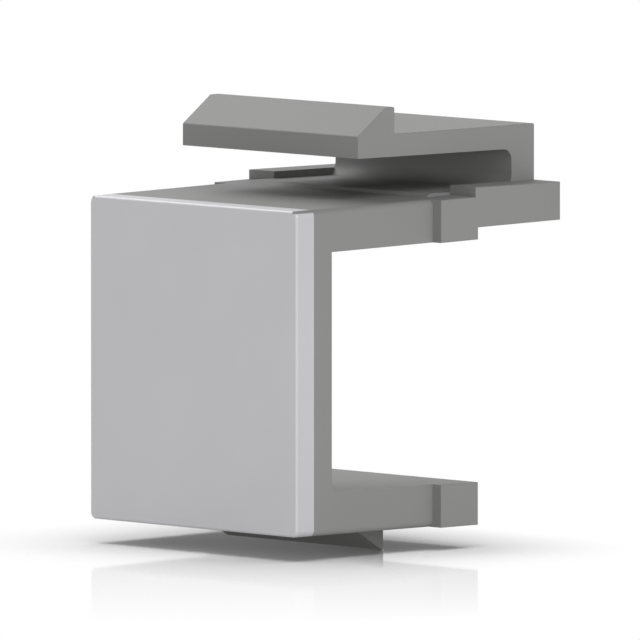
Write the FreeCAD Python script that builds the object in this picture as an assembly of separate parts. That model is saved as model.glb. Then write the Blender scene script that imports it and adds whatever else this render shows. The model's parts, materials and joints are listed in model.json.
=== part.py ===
import FreeCAD, Part
import math
import os

# Keystone blank insert: one plastic moulding that closes an empty keystone aperture.
# Millimetres. Origin at the centre of the front face, +X right, +Y into the panel, +Z up.

# Front face and the C-shaped body behind it
face_width = 14.5
face_height = 16.1
wall_thickness = 2.43
arm_thickness = 2.15
draft_deg = 0.5
side_draft_deg = 0.85
gap_draft_deg = 0.65
long_edge_round = 0.32
face_edge_round = 0.12
gap_floor_round = 0.3

# Stop shoulders on both sides of both arms, which land on the back of the panel
face_to_stop = 9.4
stop_length = 2.6
stop_proud = 0.6

# Rear deck: two side rails with the latch floor between them
deck_length = 5.8
rail_width = 1.81
rail_rise = 0.48
rail_lift = 0.6
rail_lap = 0.17
floor_setback = 0.95
floor_rise = 0.16

# Latch: a spring folded back over the top arm, with a catch at its free end
slot_height = 1.955
slot_roof_round = 0.57
slot_floor_round = 0.68
root_thickness = 1.63
latch_thickness = 1.1
catch_grip = 1.46
catch_land = 0.62
catch_ramp = 1.93
catch_rise = 1.34
catch_root_round = 0.15

# Fixed hook under the bottom arm
hook_grip = 1.52
hook_ramp = 2.1
hook_drop = 1.21
hook_inset = 1.94
hook_root_round = 0.15

# Small radius that breaks the sharp outer edges, and the larger one at outline corners
edge_break = 0.06
corner_round = 0.09

# How closely an edge must lie on a plane to be picked for rounding
tolerance = 1e-6

# Stations along the depth
stop_front = face_to_stop
stop_rear = stop_front + stop_length
rear = stop_rear + deck_length
rail_front = stop_rear - rail_lap
floor_front = stop_front + floor_setback
slot_end = rear - root_thickness
catch_rear = stop_front - catch_grip
catch_peak = catch_rear - catch_land
catch_front = catch_peak - catch_ramp
hook_rear = stop_front - hook_grip
hook_front = hook_rear - hook_ramp

draft = math.tan(math.radians(draft_deg))
side_draft = math.tan(math.radians(side_draft_deg))
gap_draft = math.tan(math.radians(gap_draft_deg))


def body_side(y):
    """Half width of the body, which widens towards the rear by the side draft."""
    return face_width / 2 + side_draft * y


def body_top(y):
    """Height of the body's upper face; the lower face mirrors it."""
    return face_height / 2 + draft * y


def gap_top(y):
    """Height of the upper arm's underside; the lower arm's upper face mirrors it."""
    return body_top(wall_thickness) - arm_thickness + gap_draft * (y - wall_thickness)


def rail_top(y):
    """Height of the rails' upper faces, which fall towards the rear by the draft."""
    return body_top(rail_front) + rail_rise - draft * (y - rail_front)


def deck_underside(y):
    """Height of the deck's underside, which rises towards the rear by the draft."""
    return gap_top(stop_rear) + rail_lift + draft * (y - stop_rear)


def slot_floor(y):
    """Height of the floor under the latch."""
    return body_top(floor_front) + floor_rise - draft * (y - floor_front)


def slot_roof(y):
    """Height of the latch's underside, parallel to the floor."""
    return slot_floor(y) + slot_height


stop_half = body_side(stop_front) + stop_proud
latch_half = stop_half - rail_width
hook_half = body_side(hook_rear) - hook_inset
latch_top = slot_roof(catch_front) + latch_thickness
catch_top = latch_top + catch_rise
hook_root = -body_top(hook_rear)
hook_tip = hook_root - hook_drop


def outline(corners):
    """Closed Y-Z wire through (y, z) corners; a third value is that corner's radius."""
    points = [FreeCAD.Vector(0, corner[0], corner[1]) for corner in corners]
    stretches = []
    for index, corner in enumerate(corners):
        point = points[index]
        before = (points[index - 1] - point).normalize()
        after = (points[(index + 1) % len(points)] - point).normalize()
        if len(corner) < 3:
            stretches.append((point, None, point))
            continue
        radius = corner[2]
        half_angle = before.getAngle(after) / 2
        tangent = radius / math.tan(half_angle)
        middle = point + (before + after).normalize() * (radius / math.sin(half_angle) - radius)
        stretches.append((point + before * tangent, middle, point + after * tangent))
    edges = []
    for index, (start, middle, end) in enumerate(stretches):
        if middle is not None:
            edges.append(Part.Arc(start, middle, end).toShape())
        edges.append(Part.LineSegment(end, stretches[(index + 1) % len(stretches)][0]).toShape())
    return Part.Wire(edges)


def slab(corners, left, right):
    """Solid with the given Y-Z outline, from X = left to X = right."""
    face = Part.Face(outline(corners))
    face.translate(FreeCAD.Vector(left, 0, 0))
    return face.extrude(FreeCAD.Vector(right - left, 0, 0))


def edges_on_plane_x(solid, x):
    """Edges of the solid that lie in the plane X = x."""
    return [edge for edge in solid.Edges if all(abs(vertex.X - x) < tolerance for vertex in edge.Vertexes)]


def make_body():
    """C-shaped body: front wall and two arms, drafted on all sides, with its outer edges rounded."""
    profile = [
        (0, -body_top(0)),
        (0, body_top(0)),
        (stop_rear, body_top(stop_rear)),
        (stop_rear, gap_top(stop_rear)),
        (wall_thickness, gap_top(wall_thickness)),
        (wall_thickness, -gap_top(wall_thickness), gap_floor_round),
        (stop_rear, -gap_top(stop_rear)),
        (stop_rear, -body_top(stop_rear)),
    ]
    body = slab(profile, -stop_half, stop_half)
    plan = [
        FreeCAD.Vector(-body_side(0), 0, -face_height),
        FreeCAD.Vector(body_side(0), 0, -face_height),
        FreeCAD.Vector(body_side(stop_rear), stop_rear, -face_height),
        FreeCAD.Vector(-body_side(stop_rear), stop_rear, -face_height),
    ]
    plan_face = Part.Face(Part.makePolygon(plan + plan[:1]))
    body = body.common(plan_face.extrude(FreeCAD.Vector(0, 0, 2 * face_height)))
    long_edges = []
    for edge in body.Edges:
        middle = edge.CenterOfMass
        on_side = abs(abs(middle.x) - body_side(middle.y)) < tolerance
        on_top = abs(abs(middle.z) - body_top(middle.y)) < tolerance
        if on_side and on_top:
            long_edges.append(edge)
    body = body.makeFillet(long_edge_round, long_edges)
    face_edges = [edge for edge in body.Edges if edge.BoundBox.YMax < tolerance]
    return body.makeFillet(face_edge_round, face_edges)


def make_side_flange(side):
    """Upper stop shoulder and rail of one side, one outline with its outer edges broken."""
    profile = [
        (stop_front, gap_top(stop_front)),
        (stop_front, body_top(stop_front)),
        (rail_front, body_top(rail_front)),
        (rail_front, rail_top(rail_front)),
        (rear, rail_top(rear)),
        (rear, deck_underside(rear)),
        (stop_rear, deck_underside(stop_rear)),
        (stop_rear, gap_top(stop_rear)),
    ]
    flange = slab(profile, side * latch_half, side * stop_half)
    return flange.makeFillet(edge_break, edges_on_plane_x(flange, side * stop_half))


def make_lower_stop(side):
    """Lower stop shoulder of one side."""
    profile = [
        (stop_front, -gap_top(stop_front)),
        (stop_front, -body_top(stop_front)),
        (stop_rear, -body_top(stop_rear)),
        (stop_rear, -gap_top(stop_rear)),
    ]
    stop = slab(profile, side * latch_half, side * stop_half)
    return stop.makeFillet(edge_break, edges_on_plane_x(stop, side * stop_half))


def make_deck():
    """Plate between the rails: a 45 degree step, the latch floor and the block under the root."""
    foot = floor_front - floor_rise
    profile = [
        (foot, body_top(foot)),
        (floor_front, slot_floor(floor_front)),
        (slot_end, slot_floor(slot_end)),
        (slot_end, rail_top(rear)),
        (rear, rail_top(rear)),
        (rear, deck_underside(rear)),
        (stop_rear, deck_underside(stop_rear)),
        (foot, deck_underside(stop_rear)),
    ]
    return slab(profile, -latch_half, latch_half)


def make_latch():
    """Spring latch: up from the rear of the deck and forward over the slot, with a ramped catch."""
    root_front = slot_end - slot_floor_round
    anchor = deck_underside(rear)
    profile = [
        (root_front, anchor),
        (root_front, slot_floor(root_front)),
        (slot_end, slot_floor(slot_end), slot_floor_round),
        (slot_end, slot_roof(slot_end), slot_roof_round),
        (catch_front, slot_roof(catch_front)),
        (catch_front, latch_top, corner_round),
        (catch_peak, catch_top, corner_round),
        (catch_rear, catch_top, corner_round),
        (catch_rear, latch_top, catch_root_round),
        (rear, latch_top, corner_round),
        (rear, anchor),
    ]
    latch = slab(profile, -latch_half, latch_half)
    outer_edges = []
    for x in (-latch_half, latch_half):
        for edge in edges_on_plane_x(latch, x):
            middle = edge.CenterOfMass
            if middle.z > slot_roof(middle.y) + tolerance or middle.y > rear - tolerance:
                outer_edges.append(edge)
    return latch.makeFillet(edge_break, outer_edges)


def make_hook():
    """Fixed hook: a ramp under the bottom arm that ends in an upright rear face."""
    anchor = hook_root + arm_thickness / 2
    profile = [
        (hook_front, anchor),
        (hook_front, -body_top(hook_front)),
        (hook_rear, hook_tip, edge_break),
        (hook_rear, hook_root, hook_root_round),
        (stop_front, -body_top(stop_front)),
        (stop_front, anchor),
    ]
    return slab(profile, -hook_half, hook_half)


insert = make_body()
for side in (-1, 1):
    insert = insert.fuse([make_side_flange(side), make_lower_stop(side)])
insert = insert.fuse([make_deck(), make_latch(), make_hook()]).removeSplitter()

os.makedirs("parts", exist_ok=True)
insert.Solids[0].exportStep("parts/blank_insert.step")
print("solids", len(insert.Solids), "valid", insert.isValid(), "volume", round(insert.Volume, 2))
print("box", insert.BoundBox)
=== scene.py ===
import json
import math

import bpy
from mathutils import Matrix, Vector


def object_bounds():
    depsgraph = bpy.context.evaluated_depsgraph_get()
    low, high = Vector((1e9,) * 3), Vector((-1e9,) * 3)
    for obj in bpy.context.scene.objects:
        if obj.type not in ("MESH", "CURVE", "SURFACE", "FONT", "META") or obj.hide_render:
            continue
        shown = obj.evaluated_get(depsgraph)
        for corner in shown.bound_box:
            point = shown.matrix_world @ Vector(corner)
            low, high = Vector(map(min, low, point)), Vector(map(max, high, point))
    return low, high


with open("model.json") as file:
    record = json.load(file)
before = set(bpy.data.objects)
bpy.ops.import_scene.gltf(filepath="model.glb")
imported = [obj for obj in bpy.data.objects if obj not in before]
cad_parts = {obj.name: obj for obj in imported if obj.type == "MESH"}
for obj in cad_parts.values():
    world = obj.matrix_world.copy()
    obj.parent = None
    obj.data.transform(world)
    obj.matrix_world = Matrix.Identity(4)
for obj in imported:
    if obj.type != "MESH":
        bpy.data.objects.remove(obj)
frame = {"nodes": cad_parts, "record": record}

cad_box = [list(corner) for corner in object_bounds()]

# Blank insert. One injection moulding in grey plastic: front plate, C-shaped body, stop shoulders,
# deck, folded spring latch and hook come out of the mould together. A lighter satin skin covers the
# front plate and ends in a clean line just behind it. The round of the two top corners is darker, in
# the body's grey.
mm = 0.001
blank_insert = frame["nodes"]["blank_insert"]
face_half_width = 7.25 * mm
face_half_height = 8.05 * mm
long_edge_round = 0.32 * mm
corner_side_full = 0.9
corner_top_start = 0.45
corner_top_full = 0.28
skin_depth = 1.205 * mm
skin_line = 0.02 * mm
body_grey = (0.224, 0.224, 0.221, 1.0)
skin_grey = (0.489, 0.486, 0.499, 1.0)
body_roughness = 0.56
skin_roughness = 0.6
skin_metal_share = 0.5
shine_level = 0.2
grain_size = 0.12 * mm
grain_depth = 0.0012 * mm
grain_detail = 2.0
mottle_size = 4.5 * mm
mottle_detail = 3.0
mottle_low = 0.3
mottle_high = 0.7
mottle_share = 0.03


def ramp_node(nodes, links, value, low, high, at_low=0.0, at_high=1.0):
    """A straight line from at_low, where the value is low, to at_high, and level beyond both ends."""
    node = nodes.new("ShaderNodeMapRange")
    node.inputs["From Min"].default_value = low
    node.inputs["From Max"].default_value = high
    node.inputs["To Min"].default_value = at_low
    node.inputs["To Max"].default_value = at_high
    links.new(value, node.inputs["Value"])
    return node.outputs["Result"]


def math_node(nodes, links, operation, first, second=None):
    """One arithmetic step on sockets or plain numbers."""
    node = nodes.new("ShaderNodeMath")
    node.operation = operation
    for socket, value in zip(node.inputs, (first, second)):
        if value is None:
            continue
        if isinstance(value, (int, float)):
            socket.default_value = value
        else:
            links.new(value, socket)
    return node.outputs["Value"]


def noise_node(nodes, links, place, size, detail):
    """Soft noise from 0 to 1 with blobs of the given size."""
    node = nodes.new("ShaderNodeTexNoise")
    node.inputs["Scale"].default_value = 1.0 / size
    node.inputs["Detail"].default_value = detail
    links.new(place, node.inputs["Vector"])
    return node.outputs["Fac"]


def body_tone_share(nodes, links, place):
    """0 on the skin, 1 on the plain plastic behind it and on the round of the two top corners, which is
    darker.
    """
    axes = nodes.new("ShaderNodeSeparateXYZ")
    links.new(place, axes.inputs["Vector"])
    depth, height = axes.outputs["Y"], axes.outputs["Z"]
    behind_skin = ramp_node(nodes, links, depth, skin_depth - skin_line / 2, skin_depth + skin_line / 2)
    from_middle = math_node(nodes, links, "ABSOLUTE", axes.outputs["X"])
    # The round of the two top corners takes the body's darker grey and roughness.
    side_start = face_half_width - long_edge_round
    side_full = face_half_width - corner_side_full * long_edge_round
    side_round = ramp_node(nodes, links, from_middle, side_start, side_full)
    top_start = face_half_height - corner_top_start * long_edge_round
    top_full = face_half_height - corner_top_full * long_edge_round
    top_round = ramp_node(nodes, links, height, top_start, top_full)
    darker_top_corner = math_node(nodes, links, "MULTIPLY", side_round, top_round)
    return math_node(nodes, links, "MAXIMUM", behind_skin, darker_top_corner)


def moulded_plastic():
    """Grey satin plastic with a faint flow mottle and mould grain, and the lighter skin in front."""
    material = bpy.data.materials.new("moulded_plastic")
    material.use_nodes = True
    nodes, links = material.node_tree.nodes, material.node_tree.links
    shader = nodes["Principled BSDF"]
    place = nodes.new("ShaderNodeTexCoord").outputs["Object"]
    body_tone = body_tone_share(nodes, links, place)

    tone = nodes.new("ShaderNodeMix")
    tone.data_type = "RGBA"
    tone.inputs["A"].default_value = skin_grey
    tone.inputs["B"].default_value = body_grey
    links.new(body_tone, tone.inputs["Factor"])
    mottle = noise_node(nodes, links, place, mottle_size, mottle_detail)
    darkest, lightest = 1.0 - mottle_share / 2, 1.0 + mottle_share / 2
    shade = ramp_node(nodes, links, mottle, mottle_low, mottle_high, darkest, lightest)
    colour = nodes.new("ShaderNodeVectorMath")
    colour.operation = "SCALE"
    links.new(tone.outputs["Result"], colour.inputs[0])
    links.new(shade, colour.inputs["Scale"])
    links.new(colour.outputs["Vector"], shader.inputs["Base Color"])

    roughness = ramp_node(nodes, links, body_tone, 0.0, 1.0, skin_roughness, body_roughness)
    links.new(roughness, shader.inputs["Roughness"])
    metal = ramp_node(nodes, links, body_tone, 0.0, 1.0, skin_metal_share, 0.0)
    links.new(metal, shader.inputs["Metallic"])
    shader.inputs["Specular IOR Level"].default_value = shine_level

    grain = noise_node(nodes, links, place, grain_size, grain_detail)
    bump = nodes.new("ShaderNodeBump")
    bump.inputs["Distance"].default_value = grain_depth
    links.new(grain, bump.inputs["Height"])
    links.new(bump.outputs["Normal"], shader.inputs["Normal"])
    return material


blank_insert.data.materials.clear()
blank_insert.data.materials.append(moulded_plastic())

# Floor. A white acrylic table under the hook, the lowest point of the part. It is faintly lit from
# below, takes the soft shadow and fades to plain white further away. In front of the part, and most
# of all before the hook, it is polished and shows a faint mirror image at a low angle.
floor_level = cad_box[0][2]
floor_half = 900.0 * mm
floor_centre = Vector((0.0, 6.0 * mm, floor_level))
floor_white = (0.92, 0.92, 0.92, 1.0)
pure_white = (1.0, 1.0, 1.0, 1.0)
floor_glow = 0.105
shade_centre = Vector((0.6 * mm, 5.0 * mm, floor_level))
shade_half = Vector((7.0 * mm, 5.2 * mm, 0.0))
white_start = 1.5 * mm
white_full = 9.0 * mm
floor_ior = 1.49
floor_gloss = 0.487
floor_gloss_roughness = 0.05
mirror_way = Vector((1.0, -1.0, 0.0)).normalized()
mirror_start = 3.0 * mm
mirror_full = 8.0 * mm
mirror_end = 38.0 * mm
mounts = {mount["name"]: mount for mount in frame["record"]["mounts"]}
hook_line = mounts["hook_face"]["pos_m"][1]
hook_half_width = 5.44 * mm
hook_gloss = 1.38
hook_gloss_end = 10.5 * mm
hook_gloss_edge = 0.04 * mm


def vector_node(nodes, links, operation, first, second=None):
    """One step on places: first is a socket, second a fixed vector."""
    node = nodes.new("ShaderNodeVectorMath")
    node.operation = operation
    links.new(first, node.inputs[0])
    if second is not None:
        node.inputs[1].default_value = second
    return node.outputs["Value" if operation in ("LENGTH", "DOT_PRODUCT") else "Vector"]


def product_node(nodes, links, first, *others):
    """All values multiplied together."""
    for other in others:
        first = math_node(nodes, links, "MULTIPLY", first, other)
    return first


def seen_rays(nodes, links):
    """The camera's own rays, and all rays that show a thing: straight, mirrored or through glass."""
    path = nodes.new("ShaderNodeLightPath")
    camera_ray = path.outputs["Is Camera Ray"]
    seen = math_node(nodes, links, "MAXIMUM", camera_ray, path.outputs["Is Glossy Ray"])
    return camera_ray, math_node(nodes, links, "MAXIMUM", seen, path.outputs["Is Transmission Ray"])


def white_share(nodes, links, place):
    """0 under and close to the part, where the shadow shows, and 1 where the table is plain white."""
    beyond = vector_node(nodes, links, "SUBTRACT", place, shade_centre)
    beyond = vector_node(nodes, links, "ABSOLUTE", beyond)
    beyond = vector_node(nodes, links, "SUBTRACT", beyond, shade_half)
    beyond = vector_node(nodes, links, "MAXIMUM", beyond, (0.0, 0.0, 0.0))
    distance = vector_node(nodes, links, "LENGTH", beyond)
    return ramp_node(nodes, links, distance, white_start, white_full)


def front_polish(nodes, links, place):
    """Polish of the wide band in front of the part, which fades out towards the camera."""
    offset = vector_node(nodes, links, "SUBTRACT", place, floor_centre)
    ahead = vector_node(nodes, links, "DOT_PRODUCT", offset, mirror_way)
    rising = ramp_node(nodes, links, ahead, mirror_start, mirror_full)
    fading = ramp_node(nodes, links, ahead, mirror_end, mirror_full)
    return product_node(nodes, links, rising, fading, floor_gloss)


def hook_polish(nodes, links, place):
    """Polish of the slanted patch that starts at the hook and carries its mirror image."""
    axes = nodes.new("ShaderNodeSeparateXYZ")
    links.new(place, axes.inputs["Vector"])
    ahead = math_node(nodes, links, "SUBTRACT", hook_line, axes.outputs["Y"])
    aside = math_node(nodes, links, "SUBTRACT", axes.outputs["X"], ahead)
    along = ramp_node(nodes, links, aside, -hook_half_width, hook_half_width)
    inside = ramp_node(nodes, links, aside, hook_half_width, hook_half_width - hook_gloss_edge)
    in_front = ramp_node(nodes, links, ahead, -hook_gloss_edge, 0.0)
    close = ramp_node(nodes, links, ahead, hook_gloss_end, 0.0)
    return product_node(nodes, links, along, inside, in_front, close, hook_gloss)


def mixed_shader(nodes, links, share, first, second):
    """The first shader with the given share of the second."""
    node = nodes.new("ShaderNodeMixShader")
    links.new(share, node.inputs["Fac"])
    links.new(first, node.inputs[1])
    links.new(second, node.inputs[2])
    return node.outputs["Shader"]


def white_acrylic():
    """Matt white with a faint glow, plain white away from the part, and polish seen at a low angle."""
    material = bpy.data.materials.new("white_acrylic")
    material.use_nodes = True
    nodes, links = material.node_tree.nodes, material.node_tree.links
    nodes.remove(nodes["Principled BSDF"])
    matt = nodes.new("ShaderNodeBsdfDiffuse")
    matt.inputs["Color"].default_value = floor_white
    mirror = nodes.new("ShaderNodeBsdfGlossy")
    mirror.inputs["Color"].default_value = pure_white
    mirror.inputs["Roughness"].default_value = floor_gloss_roughness
    glow = nodes.new("ShaderNodeEmission")
    fresnel = nodes.new("ShaderNodeFresnel")
    fresnel.inputs["IOR"].default_value = floor_ior
    place = nodes.new("ShaderNodeTexCoord").outputs["Object"]
    camera_ray, seen = seen_rays(nodes, links)

    white = product_node(nodes, links, seen, white_share(nodes, links, place))
    white = math_node(nodes, links, "MAXIMUM", white, floor_glow)
    table = mixed_shader(nodes, links, white, matt.outputs["BSDF"], glow.outputs["Emission"])
    wide_band, hook_patch = front_polish(nodes, links, place), hook_polish(nodes, links, place)
    polish = math_node(nodes, links, "MAXIMUM", wide_band, hook_patch)
    polish = product_node(nodes, links, polish, fresnel.outputs["Fac"], camera_ray)
    table = mixed_shader(nodes, links, polish, table, mirror.outputs["BSDF"])
    links.new(table, nodes["Material Output"].inputs["Surface"])
    return material


floor_mesh = bpy.data.meshes.new("floor")
floor_corners = [
    (floor_centre.x + side * floor_half, floor_centre.y + end * floor_half, floor_level)
    for side, end in ((-1, -1), (1, -1), (1, 1), (-1, 1))
]
floor_mesh.from_pydata(floor_corners, [], [(0, 1, 2, 3)])
floor_mesh.materials.append(white_acrylic())
floor = bpy.data.objects.new("floor", floor_mesh)
bpy.context.scene.collection.objects.link(floor)

# Light. A dim white room, a softbox on the left, two on the right and a low strip in front light the
# part. The four lamps are flagged off the floor, which has its own wide softbox overhead, so that the
# shadow lies straight under the part.
room_strength = 0.2
lamp_aim = Vector((0.0, 8.0 * mm, 0.0))
lamp_distance = 350.0 * mm
floor_lamp_distance = 400.0 * mm
world = bpy.data.worlds.new("room")
bpy.context.scene.world = world
world.use_nodes = True
room_nodes, room_links = world.node_tree.nodes, world.node_tree.links
room = room_nodes["Background"]
room.inputs["Color"].default_value = pure_white
room_seen = seen_rays(room_nodes, room_links)[1]
room_level = ramp_node(room_nodes, room_links, room_seen, 0.0, 1.0, room_strength, 1.0)
room_links.new(room_level, room.inputs["Strength"])


def direction(azimuth_deg, elevation_deg):
    """Unit vector from the part: azimuth 0 is straight in front, 90 to the right; elevation is up."""
    azimuth, elevation = math.radians(azimuth_deg), math.radians(elevation_deg)
    return Vector((
        math.sin(azimuth) * math.cos(elevation),
        -math.cos(azimuth) * math.cos(elevation),
        math.sin(elevation),
    ))


def flagged(name, link_state):
    """What a lamp may light: INCLUDE keeps it to the floor, EXCLUDE keeps it off the floor."""
    reach = bpy.data.collections.new(name)
    reach.objects.link(floor)
    reach.collection_objects[0].light_linking.link_state = link_state
    return reach


floor_only = flagged("floor_only", "INCLUDE")
off_floor = flagged("off_floor", "EXCLUDE")


def softbox(name, azimuth_deg, elevation_deg, distance, width, height, watts, reach):
    """Soft lamp that faces the part from the given direction and doesn't show itself."""
    data = bpy.data.lights.new(name, "AREA")
    data.shape = "RECTANGLE"
    data.size = width
    data.size_y = height
    data.energy = watts
    lamp = bpy.data.objects.new(name, data)
    lamp.location = lamp_aim + distance * direction(azimuth_deg, elevation_deg)
    lamp.rotation_mode = "QUATERNION"
    lamp.rotation_quaternion = (lamp_aim - lamp.location).to_track_quat("-Z", "Y")
    lamp.visible_camera = False
    lamp.light_linking.receiver_collection = reach
    bpy.context.scene.collection.objects.link(lamp)


softbox(
    "left_softbox", azimuth_deg=270.0, elevation_deg=33.5, distance=lamp_distance,
    width=300.0 * mm, height=200.0 * mm, watts=1.13, reach=off_floor,
)
softbox(
    "right_softbox", azimuth_deg=83.0, elevation_deg=14.0, distance=lamp_distance,
    width=240.0 * mm, height=160.0 * mm, watts=0.31, reach=off_floor,
)
softbox(
    "upper_softbox", azimuth_deg=83.0, elevation_deg=40.0, distance=lamp_distance,
    width=240.0 * mm, height=160.0 * mm, watts=0.45, reach=off_floor,
)
softbox(
    "front_strip", azimuth_deg=20.0, elevation_deg=3.0, distance=lamp_distance,
    width=240.0 * mm, height=60.0 * mm, watts=0.225, reach=off_floor,
)
softbox(
    "floor_softbox", azimuth_deg=0.0, elevation_deg=90.0, distance=floor_lamp_distance,
    width=500.0 * mm, height=500.0 * mm, watts=2.098, reach=floor_only,
)

# Camera. A long lens, almost level with the part and 45 degrees to its right, far enough away that
# the part's edges stay nearly parallel. The aim is shifted a little to frame the part as seen.
view_distance = 1070.0 * mm
image_pixels = 640
pixels_per_mm = 20.142
sensor_width_mm = 36.0
aim_point = Vector((0.0, 8.0 * mm, 1.5 * mm))
aim_right = 0.631 * mm
aim_up = 0.289 * mm
view_azimuth_deg = 45.0
view_elevation_deg = 4.924
toward_camera = direction(view_azimuth_deg, view_elevation_deg)
image_right = direction(view_azimuth_deg + 90.0, 0.0)
image_up = toward_camera.cross(image_right)
camera_data = bpy.data.cameras.new("camera")
camera_data.sensor_width = sensor_width_mm
camera_data.lens = sensor_width_mm * pixels_per_mm * (view_distance / mm) / image_pixels
camera = bpy.data.objects.new("camera", camera_data)
camera.location = aim_point + aim_right * image_right + aim_up * image_up + view_distance * toward_camera
camera.rotation_mode = "QUATERNION"
camera.rotation_quaternion = Matrix((image_right, image_up, toward_camera)).transposed().to_quaternion()
bpy.context.scene.collection.objects.link(camera)
bpy.context.scene.camera = camera
bpy.context.scene.view_settings.view_transform = "Standard"
